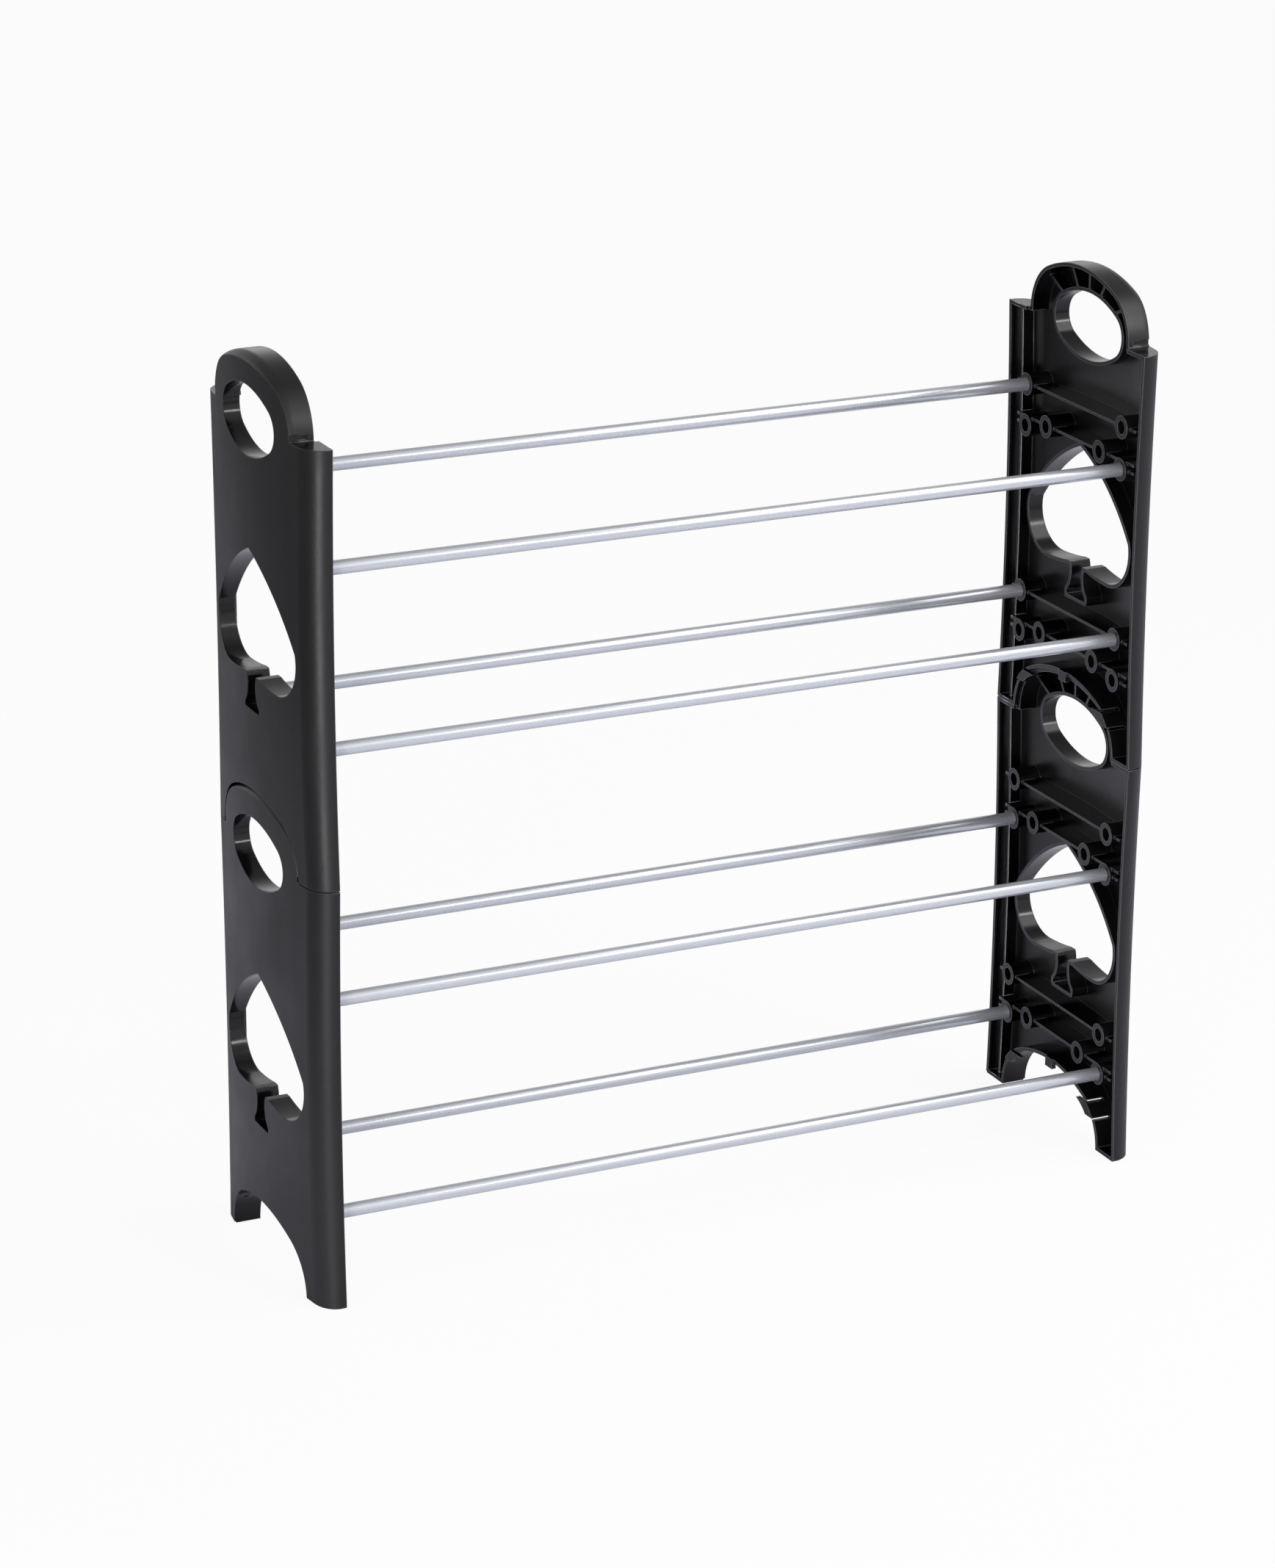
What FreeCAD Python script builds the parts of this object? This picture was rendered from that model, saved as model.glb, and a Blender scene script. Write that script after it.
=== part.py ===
import FreeCAD, Part
import math
import os

# A stackable shoe rack: two identical modules, one standing on the other. Each module is a pair of
# moulded side panels joined by four plain steel tubes, two for each shelf. One mould makes all four
# panels, because a panel is the same seen from the front and from the back.
# Frame: X runs along the tubes, Y from front (-) to back (+), Z up. The origin lies on the floor,
# below the middle of the rack. Millimetres.

# Driving dimensions: the whole rack
module_pitch = 280.0        # from the foot of a leg to the shoulder that the next module stands on
clear_span = 558.0          # between the open faces of the left and right panels
panel_half_depth = 88.5     # half of the panel from front to back, at its feet and shoulders
waist_draw = 3.5            # how far each side of the panel draws in at mid-height
panel_thickness = 22.0      # from the open inner edge of the rim to the crown of the outer face
face_radius = 530.0         # the outer face is crowned from front to back
edge_round = 14.0           # reach along Y of the round between the outer face and the rim
rim_straight = 3.0          # straight part of the rim, from the open edge to that round

# Driving dimensions: walls of the moulding
skin = 2.5                  # thickness of the outer face
rim_wall = 2.5              # thickness of the rim, the shoulders, the feet and the head's outer wall
collar_wall = 2.4           # thickness of the walls around the cut-outs and the arch
hole_depth = 12.6           # depth of the hand hole's walls, from the face's crown
spade_depth = 15.0          # the same for the spade
rib = 1.8                   # thickness of the stiffening ribs
rib_set_back = 2.0          # how far the level ribs lie below the open edge of the rim
upright_set_back = 5.0      # the same for the upright rib beside the rim
upright_inset = 8.4         # from the rim's outer side to that rib

# Driving dimensions: carrying head with its hand hole, both centred on the line of the shoulders
hole_half_width = 43.2
hole_half_height = 22.4
hole_end_radius = 15.0
head_half_width = 64.0
head_half_height = 41.0
head_end_radius = 35.0
head_set_back = 2.5         # how far the head's inner edge lies below the open edge of the rim
head_relief = 2.0           # how far that step runs past the head along each shoulder
head_rounding = 8.0         # softens the head's outer edge, most at the top
head_ribs = 5               # ribs that cross the hollow of the head
head_rib_spread = 130.0     # degrees between the first and the last of them
notch_height = 3.5          # slot in the head's wall at its foot, above each shoulder
notch_lift = 0.8            # from the shoulder to that slot
notch_set_back = 6.0        # from the open edge of the rim to that slot, which runs out at the outer face
notch_depth = 1.8

# Driving dimensions: the arch that fits over the head below, and the hooks that lap over its edge
arch_clearance = 0.6        # between the head and the arch of the next module
seam_height = 0.9           # rebate around the feet, which shows as a dark line on the shoulder below
seam_depth = 1.2
tongue_height = 8.2
tongue_slit = 1.5
tongue_middle = 25.5        # from the foot of the leg to the middle of the tongue
tongue_length = 13.0        # from the open edge of the rim to the end of the slits
hook_reach = 4.6            # how far a hook stands into the arch
hook_gap = 0.4              # between a hook and the inner edge of the head
hook_thickness = 3.4
crown_hook_width = 9.0

# Driving dimensions: spade-shaped cut-out, heights measured down from the shoulder
spade_apex_drop = 81.0
spade_side_swell = 6.2          # how far the upper side bows out from a straight line
lobe_radius = 26.0
lobe_centre_y = 40.0
lobe_centre_drop = 139.0
lobe_meets_side = 15.5          # degrees above level at which the upper side runs into the lobe
cusp_drop = 162.5
cusp_half_width = 13.0
cusp_sag = 0.6                  # how far the edge from lobe to cusp bows down from a straight line
neck_half_width = 8.0
stem_waist_half_width = 6.5
stem_waist_fall = 9.5           # from the cusp down to the stem's waist
stem_foot_half_width = 12.0
stem_foot_fall = 11.0           # from the waist down to the widest place
stem_foot_height = 3.0          # straight sides below that

# Driving dimensions: tubes and their sockets
tube_diameter = 9.0
tube_wall = 0.8
socket_clearance = 0.05     # on the radius
socket_depth = 15.0
socket_end_gap = 0.3
boss_wall = 3.2             # plastic around a socket
outer_socket_inset = 26.1   # from the panel's side, at its feet and shoulders, to the outer sockets
inner_socket_y = 35.0       # from the panel's middle to the inner sockets
upper_socket_drop = 52.6    # heights of the first tier's sockets, down from the shoulder
lower_socket_drop = 80.9
inner_socket_drop = 75.6
tier_pitch = 143.9

# Which outer socket each shelf's tubes sit in: tier name, module, tier in the module, front, back
upper_socket = "upper"
lower_socket = "lower"
shelves = [
    ("bottom_tier", 0, 1, lower_socket, lower_socket),
    ("second_tier", 0, 0, lower_socket, lower_socket),
    ("third_tier", 1, 1, upper_socket, upper_socket),
    ("top_tier", 1, 0, lower_socket, upper_socket),
]

# Worked out from the above
overlap = 1.0               # how far cutting shapes run past the material
shoulder_z = module_pitch
top_z = shoulder_z + head_half_height + overlap
hole_x = panel_thickness - hole_depth
spade_x = panel_thickness - spade_depth
socket_radius = tube_diameter / 2.0 + socket_clearance
boss_radius = socket_radius + boss_wall
outer_socket_y = panel_half_depth - outer_socket_inset
drops = {upper_socket: upper_socket_drop, lower_socket: lower_socket_drop}


def at(x, y, z):
    return FreeCAD.Vector(x, y, z)


def half_depth(z):
    """Half of the panel's depth at a height: a shallow parabola, narrowest at mid-height."""
    from_middle = 2.0 * z / module_pitch - 1.0
    return panel_half_depth - waist_draw * (1.0 - from_middle ** 2)


def prism(wire, x_from, x_to):
    """Solid between two X planes with the outline of a wire drawn in the plane X = 0."""
    face = Part.Face(wire)
    face.translate(at(x_from, 0, 0))
    return face.extrude(at(x_to - x_from, 0, 0))


def across(x_from, x_to, z_from, z_to):
    """Box that spans the panel from front to back, and more."""
    reach = panel_half_depth + waist_draw + head_half_width
    return Part.makeBox(x_to - x_from, 2.0 * reach, z_to - z_from, at(x_from, -reach, z_from))


def lines_and_arcs(steps):
    """Closed wire from steps of (end,) for a straight line or (middle, end) for an arc, as (y, z) pairs."""
    edges = []
    start = steps[-1][-1]
    for step in steps:
        a = at(0, *start)
        b = at(0, *step[-1])
        if len(step) == 1:
            edges.append(Part.makeLine(a, b))
        else:
            edges.append(Part.Arc(a, at(0, *step[0]), b).toShape())
        start = step[-1]
    return Part.Wire(edges)


def oval(half_width, half_height, end_radius, centre_z):
    """An oval outline of four arcs that meet smoothly."""
    reach = half_width - end_radius
    rise = half_height - end_radius
    sink = (reach ** 2 - rise ** 2) / (2.0 * rise)
    slope = math.atan2(sink, reach)
    corner_y = reach + end_radius * math.cos(slope)
    corner_z = end_radius * math.sin(slope)
    return lines_and_arcs([
        ((half_width, centre_z), (corner_y, centre_z + corner_z)),
        ((0.0, centre_z + half_height), (-corner_y, centre_z + corner_z)),
        ((-half_width, centre_z), (-corner_y, centre_z - corner_z)),
        ((0.0, centre_z - half_height), (corner_y, centre_z - corner_z)),
    ])


def hole_oval(grow):
    """The hand hole's outline, made larger by grow all round."""
    return oval(hole_half_width + grow, hole_half_height + grow, hole_end_radius + grow, shoulder_z)


def head_oval(centre_z, grow):
    """The head's outline, made larger by grow all round, for the head itself or for an arch around it."""
    return oval(head_half_width + grow, head_half_height + grow, head_end_radius + grow, centre_z)


def spade():
    """The spade's outline: a blunt leaf with two round lobes, square cusps and a flared stem."""
    def z(drop):
        return shoulder_z - drop

    turn = math.radians(lobe_meets_side)
    lobe_z = z(lobe_centre_drop)
    join = (lobe_centre_y + lobe_radius * math.cos(turn), lobe_z + lobe_radius * math.sin(turn))
    apex = (0.0, z(spade_apex_drop))
    fall = apex[1] - join[1]
    length = math.hypot(join[0], fall)
    side = (join[0] / 2.0 + spade_side_swell * fall / length,
            (apex[1] + join[1]) / 2.0 + spade_side_swell * join[0] / length)
    lobe_side = (lobe_centre_y + lobe_radius * math.sqrt(0.5), lobe_z - lobe_radius * math.sqrt(0.5))
    lobe_foot = (lobe_centre_y, lobe_z - lobe_radius)
    cusp = (cusp_half_width, z(cusp_drop))
    under = ((lobe_foot[0] + cusp[0]) / 2.0, (lobe_foot[1] + cusp[1]) / 2.0 - cusp_sag)
    neck = (neck_half_width, z(cusp_drop))
    stem_waist = (stem_waist_half_width, neck[1] - stem_waist_fall)
    stem_foot = (stem_foot_half_width, stem_waist[1] - stem_foot_fall)
    stem_end = (stem_foot_half_width, stem_foot[1] - stem_foot_height)

    def left(point):
        return (-point[0], point[1])

    return lines_and_arcs([
        (side, join), (lobe_side, lobe_foot), (under, cusp), (neck,), (stem_waist, stem_foot), (stem_end,),
        (left(stem_end),), (left(stem_foot),), (left(stem_waist), left(neck)), (left(cusp),),
        (left(under), left(lobe_foot)), (left(lobe_side), left(join)), (left(side), apex),
    ])


def round_edge(start, corner, end):
    """Quarter of an ellipse from start to end, inside the corner where its two tangents meet."""
    poles = [start, corner, end]
    weights = [1.0, math.sqrt(0.5), 1.0]
    curve = Part.BSplineCurve()
    curve.buildFromPolesMultsKnots(poles, [3, 3], [0.0, 1.0], False, 2, weights)
    return curve.toShape()


def pillow(inset_side, inset_face, z_from, x_open):
    """The panel's long body, or its hollow, up to the top of the head: an upright loft whose plan has
    a crowned outer face, a round to each side, and a straight rim to the open face at x_open."""
    radius = face_radius - inset_face
    face_x = panel_thickness - inset_face
    reach = edge_round - inset_side
    wires = []
    for z in (z_from, (z_from + top_z) / 2.0, top_z):
        side = half_depth(z) - inset_side
        flank = side - reach
        fall = math.sqrt(radius ** 2 - flank ** 2)
        flank_x = face_x - radius + fall
        corner_x = flank_x - reach * flank / fall
        wires.append(Part.Wire([
            Part.makeLine(at(x_open, -side, z), at(x_open, side, z)),
            Part.makeLine(at(x_open, side, z), at(rim_straight, side, z)),
            round_edge(at(rim_straight, side, z), at(corner_x, side, z), at(flank_x, flank, z)),
            Part.Arc(at(flank_x, flank, z), at(face_x, 0, z), at(flank_x, -flank, z)).toShape(),
            round_edge(at(flank_x, -flank, z), at(corner_x, -side, z), at(rim_straight, -side, z)),
            Part.makeLine(at(rim_straight, -side, z), at(x_open, -side, z)),
        ]))
    return Part.makeLoft(wires, True, False)


def beside_head(z_from, grow):
    """What is cut away above a level to leave the head, or its hollow, between the shoulders."""
    block = across(-2.0 * overlap, panel_thickness + overlap, z_from, top_z + overlap)
    head = prism(head_oval(shoulder_z, grow), -3.0 * overlap, panel_thickness + overlap)
    outer_edges = [edge for edge in head.Edges if edge.BoundBox.XMin > panel_thickness]
    return block.cut(head.makeFillet(head_rounding, outer_edges))


def socket_places():
    """The (y, z) of all the sockets in one panel: three pairs in each of the two tiers."""
    places = []
    for tier in range(2):
        tier_z = shoulder_z - tier * tier_pitch
        for side in (-1, 1):
            places.append((side * outer_socket_y, tier_z - upper_socket_drop))
            places.append((side * outer_socket_y, tier_z - lower_socket_drop))
            places.append((side * inner_socket_y, tier_z - inner_socket_drop))
    return places


def upright_rib(side):
    """A rib that runs beside the rim from the foot to the shoulder and follows the waist."""
    def edge(z, inset):
        return (side * (half_depth(z) - inset), z)

    near = upright_inset
    far = upright_inset + rib
    middle = shoulder_z / 2.0
    return prism(lines_and_arcs([
        (edge(middle, near), edge(shoulder_z, near)),
        (edge(shoulder_z, far),),
        (edge(middle, far), edge(0.0, far)),
        (edge(0.0, near),),
    ]), upright_set_back, panel_thickness)


def cross_rib(y_from, y_to, z):
    corner = at(rib_set_back, y_from, z - rib / 2.0)
    return Part.makeBox(panel_thickness - rib_set_back, y_to - y_from, rib, corner)


def panel_ribs():
    """Upright ribs, ribs through the rows of sockets, and the spokes that cross the head's hollow,
    which are as high as the hand hole's wall."""
    ribs = [upright_rib(-1), upright_rib(1)]
    for tier in range(2):
        tier_z = shoulder_z - tier * tier_pitch
        for drop in (upper_socket_drop, inner_socket_drop):
            z = tier_z - drop
            reach = half_depth(z) - upright_inset - rib / 2.0
            ribs.append(cross_rib(-reach, reach, z))
        low_z = tier_z - lower_socket_drop
        low_reach = half_depth(low_z) - upright_inset - rib / 2.0
        ribs.append(cross_rib(outer_socket_y, low_reach, low_z))
        ribs.append(cross_rib(-low_reach, -outer_socket_y, low_z))
    for number in range(head_ribs):
        angle = head_rib_spread * (number / (head_ribs - 1.0) - 0.5)
        spoke = Part.makeBox(hole_depth, rib, head_half_width, at(hole_x, -rib / 2.0, 0.0))
        spoke.rotate(at(0, 0, 0), at(1, 0, 0), angle)
        spoke.translate(at(0, 0, shoulder_z))
        ribs.append(spoke)
    return ribs


def arch_hooks():
    """Hooks that stand into the arch over the head's inner edge: on each tongue and at the crown."""
    x_to = head_set_back - hook_gap
    x_from = x_to - hook_thickness
    ring = prism(head_oval(0.0, arch_clearance + collar_wall), x_from, x_to)
    ring = ring.cut(prism(head_oval(0.0, arch_clearance - hook_reach), x_from - overlap, x_to + overlap))
    low = tongue_middle - tongue_height / 2.0
    crown_corner = at(x_from, -crown_hook_width / 2.0, 0.0)
    crown = Part.makeBox(hook_thickness, crown_hook_width, panel_half_depth, crown_corner)
    return ring.common([across(x_from, x_to, low, low + tongue_height), crown]).Solids


def tongue_slits():
    """The slits above and below each tongue, open towards the inner edge of the arch's wall."""
    x_from = -hook_thickness - overlap
    x_to = tongue_length
    ring = prism(head_oval(0.0, arch_clearance + collar_wall + overlap), x_from, x_to)
    ring = ring.cut(prism(head_oval(0.0, arch_clearance - overlap), x_from - overlap, x_to + overlap))
    below = tongue_middle - tongue_height / 2.0 - tongue_slit
    above = tongue_middle + tongue_height / 2.0
    return ring.common([across(x_from, x_to, z, z + tongue_slit) for z in (below, above)]).Solids


def head_step():
    """What is cut away to set the head's inner edge back, down to the underside of the shoulders."""
    reach = head_half_width + head_relief
    low = shoulder_z - rim_wall
    return Part.makeBox(head_set_back + overlap, 2.0 * reach, top_z + overlap - low, at(-overlap, -reach, low))


def head_notches():
    """The blind slots in the head's wall at its foot, front and back, short of its inner edge."""
    low = shoulder_z + notch_lift
    x_to = panel_thickness + overlap
    slot = across(notch_set_back, x_to, low, low + notch_height)
    return slot.cut(prism(head_oval(shoulder_z, -notch_depth), 0.0, x_to + overlap)).Solids


def foot_seam():
    """What is cut away around the outer side of the feet to leave the seam."""
    block = across(-overlap, panel_thickness + overlap, -overlap, seam_height)
    return block.cut(pillow(seam_depth, seam_depth, -2.0 * overlap, -2.0 * overlap))


def side_panel():
    """One moulded side panel: its open, ribbed face is at X = 0, its outer face at panel_thickness."""
    leaf = spade()
    hooks = arch_hooks()
    inside = [
        prism(head_oval(0.0, arch_clearance + collar_wall), 0.0, panel_thickness),
        prism(hole_oval(collar_wall), hole_x, panel_thickness),
        prism(leaf.makeOffset2D(collar_wall), spade_x, panel_thickness),
    ]
    inside += hooks + panel_ribs()
    for y, z in socket_places():
        inside.append(Part.makeCylinder(boss_radius, panel_thickness, at(0, y, z), at(1, 0, 0)))
    hollow = pillow(rim_wall, skin, rim_wall, -overlap).cut(beside_head(shoulder_z - rim_wall, -rim_wall))
    pockets = hollow.cut(inside)

    through = (-overlap, panel_thickness + overlap)
    cuts = pockets.Solids + tongue_slits() + head_notches()
    cuts += [beside_head(shoulder_z, 0.0), head_step()]
    cuts += [prism(head_oval(0.0, arch_clearance), *through).cut(hooks), prism(hole_oval(0.0), *through)]
    cuts += [prism(leaf, *through), foot_seam()]
    for y, z in socket_places():
        mouth = at(-overlap, y, z)
        cuts.append(Part.makeCylinder(socket_radius, socket_depth + overlap, mouth, at(1, 0, 0)))
    return pillow(0.0, 0.0, 0.0, 0.0).fuse(hooks).cut(cuts).removeSplitter()


def tube(y, z):
    """A plain steel tube that reaches into a socket at each end."""
    length = clear_span + 2.0 * (socket_depth - socket_end_gap)
    start = at(-length / 2.0, y, z)
    outside = Part.makeCylinder(tube_diameter / 2.0, length, start, at(1, 0, 0))
    bore = Part.makeCylinder(tube_diameter / 2.0 - tube_wall, length, start, at(1, 0, 0))
    return outside.cut(bore)


def export(name, shape):
    shape.exportStep(os.path.join("parts", name + ".step"))
    print(name, len(shape.Solids), "solid", shape.isValid(), round(shape.Volume / 1000.0, 1), "cm3")


os.makedirs("parts", exist_ok=True)
moulding = side_panel()
for number, module in enumerate(("lower", "upper")):
    for side, turn in (("right", 0.0), ("left", 180.0)):
        panel = moulding.copy()
        panel.translate(at(clear_span / 2.0, 0, number * module_pitch))
        panel.rotate(at(0, 0, 0), at(0, 0, 1), turn)
        export(module + "_" + side + "_panel", panel)
for shelf, number, tier, front, back in shelves:
    tier_z = (number + 1) * module_pitch - tier * tier_pitch
    export(shelf + "_front_tube", tube(-outer_socket_y, tier_z - drops[front]))
    export(shelf + "_back_tube", tube(outer_socket_y, tier_z - drops[back]))
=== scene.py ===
# %% [markdown]
# # A stackable shoe rack
# Two identical modules stand on each other. Each one is a pair of black moulded side panels, joined by bright
# steel tubes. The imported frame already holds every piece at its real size, so this lesson only dresses it:
# it gives the panels their plastic, draws the tubes as smooth metal, and sets up the studio.
# Everything is in metres, with X along the tubes, the front at -Y, and Z up from the floor.

# %% Load the frame
import math
import bpy
import numpy as np
from mathutils import Matrix, Vector


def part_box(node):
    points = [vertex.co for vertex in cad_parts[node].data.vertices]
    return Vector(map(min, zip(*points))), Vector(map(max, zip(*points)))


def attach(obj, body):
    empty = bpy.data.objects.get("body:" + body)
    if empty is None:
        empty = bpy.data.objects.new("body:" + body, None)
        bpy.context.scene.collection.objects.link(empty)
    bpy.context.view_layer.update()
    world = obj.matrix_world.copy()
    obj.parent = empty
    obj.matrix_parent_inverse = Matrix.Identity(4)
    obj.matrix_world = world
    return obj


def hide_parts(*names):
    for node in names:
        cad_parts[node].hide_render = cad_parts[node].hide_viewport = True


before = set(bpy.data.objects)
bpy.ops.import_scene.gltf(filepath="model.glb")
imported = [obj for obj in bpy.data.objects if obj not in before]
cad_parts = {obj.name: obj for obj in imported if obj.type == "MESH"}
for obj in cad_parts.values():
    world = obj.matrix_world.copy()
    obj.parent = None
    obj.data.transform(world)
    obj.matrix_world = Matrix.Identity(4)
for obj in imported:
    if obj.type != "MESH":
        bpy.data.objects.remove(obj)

scene = bpy.context.scene
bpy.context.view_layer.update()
mm = 0.001

# %% [markdown]
# ## Colours and nodes
# Colours are picked as sRGB hex values, the way a paint program shows them, but a shader works with linear
# light. One function does that turn. A second one adds a shader node with its settings and its links.

# %% Colours and nodes


def linear(hex_colour):
    """sRGB hex to linear RGBA: a dark channel c is c / 12.92, others ((c + 0.055) / 1.055) to the power 2.4."""
    channels = np.array([int(hex_colour[i:i + 2], 16) for i in (1, 3, 5)]) / 255.0
    light = np.where(channels <= 0.04045, channels / 12.92, ((channels + 0.055) / 1.055) ** 2.4)
    return (*light.tolist(), 1.0)


def add_node(tree, kind, inputs=(), **settings):
    """Adds a node; inputs maps a socket's name or number to a value, or to the output that feeds it."""
    node = tree.nodes.new(kind)
    for name, value in settings.items():
        setattr(node, name, value)
    for socket, value in dict(inputs).items():
        if isinstance(value, bpy.types.NodeSocket):
            tree.links.new(value, node.inputs[socket])
        else:
            node.inputs[socket].default_value = value
    return node


def new_material(name):
    """An empty node material with only its output."""
    material = bpy.data.materials.new(name)
    material.use_nodes = True
    material.node_tree.nodes.clear()
    output = add_node(material.node_tree, "ShaderNodeOutputMaterial")
    return material, material.node_tree, output


print("middle grey in linear light:", [round(c, 3) for c in linear("#808080")])

# %% [markdown]
# Three steps come up again and again: a value is turned into another range, two numbers are put together, and
# two colours are mixed. Each gets a short function, so that a material reads as a list of steps.

# %% Steps of a material


def ramp(tree, value, start, end, low=0.0, high=1.0):
    """Turns a value that runs from start to end into one from low to high, and holds it at both ends."""
    inputs = {"Value": value, "From Min": start, "From Max": end, "To Min": low, "To Max": high}
    return add_node(tree, "ShaderNodeMapRange", inputs).outputs["Result"]


def maths(tree, operation, *values):
    """One step of arithmetic on numbers."""
    return add_node(tree, "ShaderNodeMath", dict(enumerate(values)), operation=operation).outputs["Value"]


def blend(tree, share, first, second):
    """Mixes two colours, each a hex value or an output; a share of 0 is all the first and 1 all the second."""
    first, second = (linear(colour) if isinstance(colour, str) else colour for colour in (first, second))
    return add_node(tree, "ShaderNodeMix", {0: share, 6: first, 7: second}, data_type="RGBA").outputs[2]


# %% [markdown]
# ## The black panels: injection-moulded polypropylene
# The panels are black polypropylene. The mould is spark-eroded where it shapes the faces of a panel, which
# leaves a fine, even grain and a soft gloss. Where it shapes the walls of the cut-outs and the ribs it is
# polished, so that the moulding comes off it, and there the gloss is sharp enough to show a lamp as a short
# white tick. The shader tells these surfaces apart by their normals: a wall or a rib faces neither along X nor
# away from the middle of the panel. The melt also flows in slow streaks. Every surface but the outer faces is
# given a darker black, as painted shade; the plastic itself is one black all through.
#
# Edges that have been handled are paler, and the edges inside are painted paler still, as a painted highlight
# where they would catch the lamps. A rounded normal that differs from the true one finds them. Among the ribs
# only the edges near the open side count, most of all the upright rib at the back, whose edge gets a painted
# white highlight.

# %% Moulded polypropylene
grain_size = 0.9 * mm       # the real grain is about 0.2 mm, drawn coarser so that the render can show it
grain_depth = 0.05 * mm
streak_size = 45 * mm       # slow changes of gloss where the melt flowed
streak_change = 0.05        # and how far they change the roughness
edge_reach = 0.9 * mm       # how far the paler wear and the painted highlight reach from an edge
wear_and_highlight_end = 292.5 * mm      # from the rack's middle; beyond it, in the bottom of the pockets, edges get neither wear nor painted highlight
wear_and_highlight_fade = 2.5 * mm
back_rib = 77.5 * mm        # the upright rib at the back, whose edge gets a near-white painted highlight
back_rib_reach = 3.7 * mm
polished = 0.17             # roughness of walls and ribs
smooth = 0.3                # of the inner faces
grainy = 0.44               # of the outer faces, the rims and the heads' flanks
# painted shade: every surface but the outer faces gets this darker black, though the plastic is one colour
painted_shade_black = "#040405"
face_black = "#121214"
rubbed_face = "#424246"
# rib edges: partly wear, partly a painted highlight where the inner edges catch the lamps
rib_wear_and_highlight = "#78787e"
# a painted highlight: the bright line where the back rib's edge would mirror a lamp
back_rib_painted_highlight = "#f0f0f4"


def moulded_polypropylene():
    """Black moulded plastic: grained faces, polished walls, streaks, rubbed edges, painted rib-edge highlights
    and shade.
    """
    material, tree, output = new_material("moulded_black_polypropylene")
    spot = add_node(tree, "ShaderNodeTexCoord")
    place = spot.outputs["Object"]
    side = add_node(tree, "ShaderNodeSeparateXYZ", {"Vector": place}).outputs
    lean = add_node(tree, "ShaderNodeSeparateXYZ", {"Vector": spot.outputs["Normal"]}).outputs
    away_x, away_y = [maths(tree, "MULTIPLY", maths(tree, "SIGN", side[axis]), lean[axis]) for axis in "XY"]
    outside = ramp(tree, away_x, 0.05, 0.25)
    face_or_flank = maths(tree, "MAXIMUM", maths(tree, "ABSOLUTE", lean["X"]), away_y)
    grained = ramp(tree, face_or_flank, 0.05, 0.25)

    grain = add_node(tree, "ShaderNodeTexNoise", {"Vector": place, "Scale": 1.0 / grain_size, "Detail": 2.0})
    bump = add_node(tree, "ShaderNodeBump", {
        "Height": grain.outputs["Fac"], "Strength": ramp(tree, grained, 0.0, 1.0, 0.06, 0.25),
        "Distance": grain_depth})
    edge = {"Radius": edge_reach, "Normal": bump.outputs["Normal"]}
    rounded = add_node(tree, "ShaderNodeBevel", edge, samples=4).outputs["Normal"]

    true_normal = add_node(tree, "ShaderNodeNewGeometry").outputs["Normal"]
    bend = add_node(tree, "ShaderNodeVectorMath", {0: rounded, 1: true_normal}, operation="DOT_PRODUCT")
    # edge mask: wear on the outer faces, wear with a painted highlight on the edges inside
    rub_and_highlight_edges = ramp(tree, bend.outputs["Value"], 0.98, 0.82)
    at_back_rib = maths(tree, "COMPARE", side["Y"], back_rib, back_rib_reach)
    touched_and_lit = ramp(tree, maths(tree, "ABSOLUTE", side["X"]), wear_and_highlight_end, wear_and_highlight_end - wear_and_highlight_fade)
    # rib edges near the open side: wear plus painted highlight; deep in the pockets, the painted shade black
    worn_and_highlit = blend(tree, touched_and_lit, painted_shade_black, blend(tree, at_back_rib, rib_wear_and_highlight, back_rib_painted_highlight))
    # painted shade: all but the outer faces are given the darker black
    black = blend(tree, outside, painted_shade_black, face_black)
    colour = blend(tree, rub_and_highlight_edges, black, blend(tree, outside, worn_and_highlit, rubbed_face))

    streaks = add_node(tree, "ShaderNodeTexNoise", {"Vector": place, "Scale": 1.0 / streak_size, "Detail": 3.0})
    uneven = ramp(tree, streaks.outputs["Fac"], 0.3, 0.7, -streak_change, streak_change)
    face_finish = ramp(tree, away_x, -0.05, -0.25, grainy, smooth)
    finish = ramp(tree, grained, 0.0, 1.0, polished, face_finish)
    surface = add_node(tree, "ShaderNodeBsdfPrincipled", {
        "Base Color": colour, "Roughness": maths(tree, "ADD", finish, uneven), "Normal": rounded, "IOR": 1.49,
        "Specular IOR Level": ramp(tree, grained, 0.0, 1.0, 0.4, 0.5)})
    tree.links.new(surface.outputs["BSDF"], output.inputs["Surface"])
    return material


panel_plastic = moulded_polypropylene()
panel_names = [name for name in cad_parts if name.endswith("_panel")]
for name in panel_names:
    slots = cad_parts[name].data.materials
    slots.clear()
    slots.append(panel_plastic)
print("panels in", panel_plastic.name, ":", panel_names)

# %% [markdown]
# ## The tubes: bright plated steel
# Each shelf is two plain thin-walled tubes, plated and bright. In a mirror-like metal every facet of a coarse
# cylinder would show, so each tube is made afresh as a surface of revolution with many sides: a profile with
# rounded lips, carried once round the tube's own axis.

# %% Tube shape
sides = 64                  # steps round the tube
lip_steps = 6               # steps over each rounded lip
wall = 0.8 * mm             # the tube's wall


def tube_profile(length, radius):
    """Closed profile (along, out): the outside, a half-round lip, the bore, and the other lip."""
    lip = wall / 2.0
    turn = np.linspace(0.0, np.pi, lip_steps)
    along = length / 2.0 - lip + lip * np.sin(turn)
    out = radius - lip + lip * np.cos(turn)
    return np.concatenate([along, -along[::-1]]), np.concatenate([out, out[::-1]])


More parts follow.
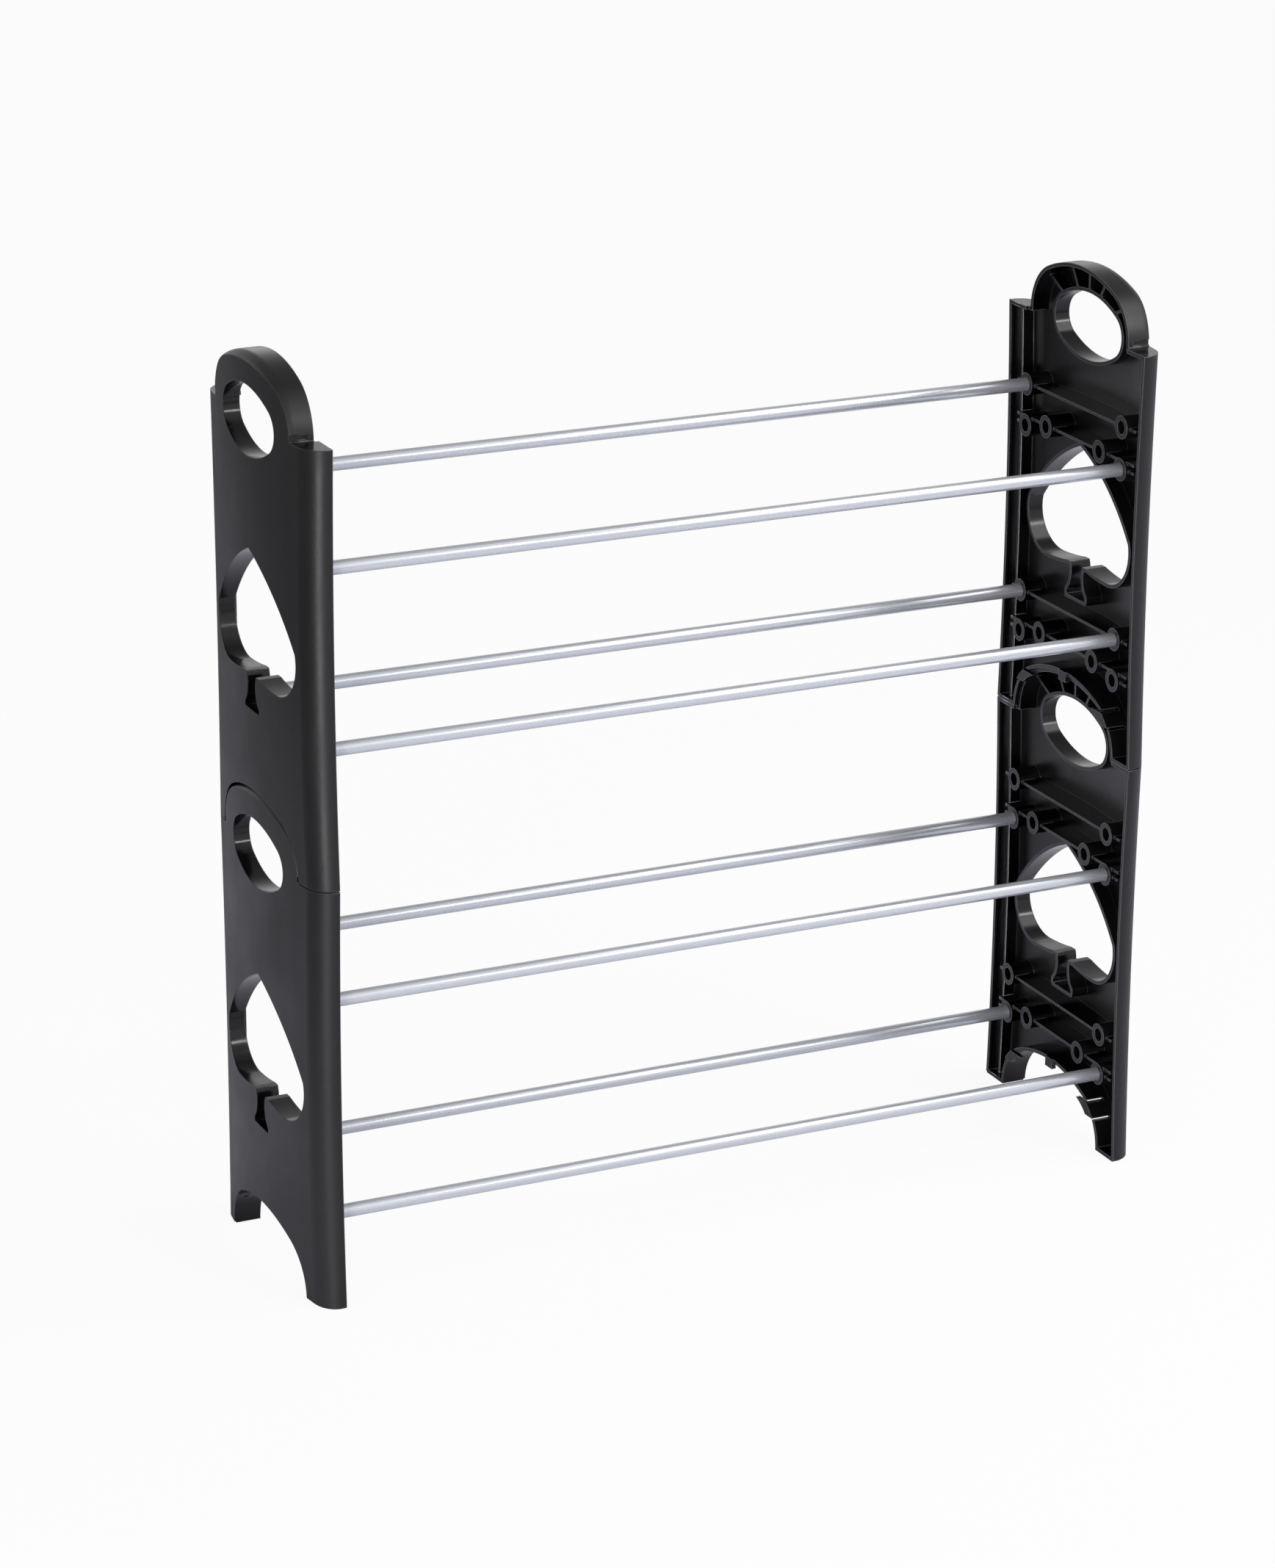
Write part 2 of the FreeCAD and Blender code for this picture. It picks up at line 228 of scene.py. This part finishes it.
def revolve(along, out, centre):
    """Grid of points (profile step, angle): x = along, y and z = out times the angle's cosine and sine."""
    angle = np.linspace(0.0, 2.0 * np.pi, sides, endpoint=False)
    points = np.empty((len(along), sides, 3))
    points[:, :, 0] = centre[0] + along[:, None]
    points[:, :, 1] = centre[1] + out[:, None] * np.cos(angle)
    points[:, :, 2] = centre[2] + out[:, None] * np.sin(angle)
    return points


def ring_faces(steps, count):
    """Quads between neighbours of a grid that closes both ways."""
    i, j = np.meshgrid(np.arange(steps), np.arange(count), indexing="ij")
    i_next = (i + 1) % steps
    j_next = (j + 1) % count
    corners = [i * count + j, i * count + j_next, i_next * count + j_next, i_next * count + j]
    return np.stack(corners, -1).reshape(-1, 4)


def mesh_object(name, points, faces):
    """A smooth-shaded mesh object at the origin, with its place in its points."""
    mesh = bpy.data.meshes.new(name)
    mesh.from_pydata(points.reshape(-1, 3).tolist(), [], faces.tolist())
    mesh.shade_smooth()
    piece = bpy.data.objects.new(name, mesh)
    scene.collection.objects.link(piece)
    return piece


# %% [markdown]
# The plating is smooth, but the tube was drawn through a die, so very fine lines run along it. They blur what
# it mirrors round the tube, while the mirror along the tube stays clear. A noise that is stretched along X
# gives both the lines and a slight unevenness of the gloss.

# %% Bright plated steel
line_width = 0.7 * mm       # the real die lines are about 0.1 mm wide, drawn coarser so that they can show
line_length = 180 * mm
line_depth = 0.03 * mm


def plated_steel():
    """Bright plated steel: a metal with a soft mirror and fine lines along the tube."""
    material, tree, output = new_material("bright_plated_steel")
    place = add_node(tree, "ShaderNodeTexCoord").outputs["Object"]
    stretch = add_node(tree, "ShaderNodeMapping", {
        "Vector": place, "Scale": (1.0 / line_length, 1.0 / line_width, 1.0 / line_width)})
    lines = add_node(tree, "ShaderNodeTexNoise", {
        "Vector": stretch.outputs["Vector"], "Scale": 1.0, "Detail": 2.0})
    bump = add_node(tree, "ShaderNodeBump", {"Height": lines.outputs["Fac"], "Strength": 0.15,
                                             "Distance": line_depth})
    surface = add_node(tree, "ShaderNodeBsdfPrincipled", {
        "Base Color": linear("#cccfd5"), "Metallic": 0.6, "Normal": bump.outputs["Normal"],
        "Roughness": ramp(tree, lines.outputs["Fac"], 0.3, 0.7, 0.2, 0.32)})
    tree.links.new(surface.outputs["BSDF"], output.inputs["Surface"])
    return material


tube_steel = plated_steel()
tube_names = [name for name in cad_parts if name.endswith("_tube")]
for name in tube_names:
    low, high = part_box(name)
    along, out = tube_profile(high.x - low.x, (high.z - low.z) / 2.0)
    points = revolve(along, out, (low + high) / 2.0)
    piece = mesh_object("bright_" + name, points, ring_faces(len(along), sides))
    piece.data.materials.append(tube_steel)
    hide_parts(name)
    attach(piece, name)
print("tubes made:", len(tube_names), "each", len(along) * sides, "quads")

# %% [markdown]
# ## The studio
# The rack stands on a sheet of pale paper that ends to the left of it, on a darker studio floor. What the black
# plastic and the tubes mirror is mostly this floor: the paper lights the tubes from below and gives the lower
# panels their sheen, and the dark floor keeps the upper left face black. The camera sees the whole floor almost
# white, and it still takes a soft shadow, because part of its colour there is light that it gives off to the
# camera alone and part is the light that falls on it.

# %% Floor
floor_half = 6.0
paper_edge = -0.78          # where the paper ends, along X
paper_blur = 0.08           # half of the soft step from paper to floor
glow_share = 0.92           # how much of what the camera sees is the floor's own light


def pale_floor():
    """Floor: white to the camera with a faint shadow, and paper on a darker floor to everything else."""
    material, tree, output = new_material("pale_studio_floor")
    rays = add_node(tree, "ShaderNodeLightPath")
    place = add_node(tree, "ShaderNodeTexCoord").outputs["Object"]
    along = add_node(tree, "ShaderNodeSeparateXYZ", {"Vector": place}).outputs["X"]
    paper = ramp(tree, along, paper_edge - paper_blur, paper_edge + paper_blur)
    matt = add_node(tree, "ShaderNodeBsdfDiffuse", {"Color": blend(tree, paper, "#5a5a5c", "#e4e4f0")})
    pale = add_node(tree, "ShaderNodeBsdfDiffuse", {"Color": linear("#eeeeee")})
    glow = add_node(tree, "ShaderNodeEmission", {"Color": linear("#ffffff"), "Strength": 1.0})
    seen = add_node(tree, "ShaderNodeMixShader", {
        0: glow_share, 1: pale.outputs["BSDF"], 2: glow.outputs["Emission"]})
    mixed = add_node(tree, "ShaderNodeMixShader", {
        0: rays.outputs["Is Camera Ray"], 1: matt.outputs["BSDF"], 2: seen.outputs["Shader"]})
    tree.links.new(mixed.outputs["Shader"], output.inputs["Surface"])
    return material


corners = floor_half * np.array([[-1.0, -1.0, 0.0], [1.0, -1.0, 0.0], [1.0, 1.0, 0.0], [-1.0, 1.0, 0.0]])
floor = mesh_object("studio_floor", corners, np.array([[0, 1, 2, 3]]))
floor.data.materials.append(pale_floor())
print("floor:", 2 * floor_half, "m wide")

# %% [markdown]
# The room around it is a white sweep that is brightest in front, where the lamps light its walls, and grows
# dimmer overhead. The dim ceiling is what draws the grey line along the top of each tube.

# %% World
front_level = 1.0
low_back_level = 0.9
ceiling_level = 0.3

world = bpy.data.worlds.new("studio_room")
scene.world = world
world.use_nodes = True
tree = world.node_tree
tree.nodes.clear()
rays = add_node(tree, "ShaderNodeLightPath")
way = add_node(tree, "ShaderNodeTexCoord").outputs["Generated"]
parts = add_node(tree, "ShaderNodeSeparateXYZ", {"Vector": way}).outputs
backdrop = ramp(tree, parts["Z"], 0.25, 0.6, low_back_level, ceiling_level)
level = ramp(tree, parts["Y"], -0.8, 0.2, front_level, backdrop)
room = add_node(tree, "ShaderNodeBackground", {"Color": linear("#ffffff"), "Strength": level})
white = add_node(tree, "ShaderNodeBackground", {"Color": linear("#ffffff"), "Strength": 1.0})
both = add_node(tree, "ShaderNodeMixShader", {
    0: rays.outputs["Is Camera Ray"], 1: room.outputs["Background"], 2: white.outputs["Background"]})
add_node(tree, "ShaderNodeOutputWorld", {"Surface": both.outputs["Shader"]})
print("world:", len(tree.nodes), "nodes")

# %% [markdown]
# Three lamps light the rack. The key is a long strip light at the front right, where the tubes mirror it to the
# camera as a white band, and the walls of the cut-outs as short white ticks. A soft box overhead lights the
# paper, which the tubes mirror as pale grey below their white band. A low box at the front left draws the pale
# strip along the rounded front edges of the left panels.

# %% Lamps


def soft_box(name, place, target, size, power):
    """An area lamp that faces a target point; size is its width and height."""
    lamp = bpy.data.lights.new(name, "AREA")
    lamp.shape = "RECTANGLE"
    lamp.size, lamp.size_y = size
    lamp.energy = power
    lamp_object = bpy.data.objects.new(name, lamp)
    scene.collection.objects.link(lamp_object)
    lamp_object.location = place
    lamp_object.visible_camera = False
    lamp_object.rotation_euler = (Vector(target) - Vector(place)).to_track_quat("-Z", "Y").to_euler()
    print(name, "at", place, power, "W")


soft_box("key_strip", (0.82, -1.5, 1.42), (0.0, 0.0, 0.4), (1.3, 0.14), 11.0)
soft_box("right_overhead_box", (0.95, -0.5, 1.6), (0.3, -0.05, 0.6), (0.9, 0.9), 7.0)
soft_box("low_front_left_box", (-1.14, -1.32, 0.16), (-0.3, -0.08, 0.3), (0.3, 0.3), 9.0)

# %% [markdown]
# ## The camera
# The photograph was taken with a long lens from the front left, a little above the rack. The camera's place,
# angles and lens were worked out from the rack's own straight lines and are written here as real sizes.

# %% Camera
camera_place = (-1.297, -2.682, 1.308)
turn_right = math.radians(25.17)
look_down = math.radians(18.99)
roll = math.radians(0.27)
lens_mm = 111.1

camera = bpy.data.cameras.new("photo_camera")
camera.sensor_width = 36.0
camera.sensor_fit = "AUTO"
camera.lens = lens_mm
camera.dof.use_dof = False
camera_object = bpy.data.objects.new("photo_camera", camera)
scene.collection.objects.link(camera_object)
camera_object.matrix_world = (
    Matrix.Translation(camera_place) @ Matrix.Rotation(-turn_right, 4, "Z")
    @ Matrix.Rotation(math.pi / 2.0 - look_down, 4, "X") @ Matrix.Rotation(roll, 4, "Z"))
scene.camera = camera_object
scene.view_settings.view_transform = "Standard"
print("camera at", camera_place, "lens", lens_mm, "mm")
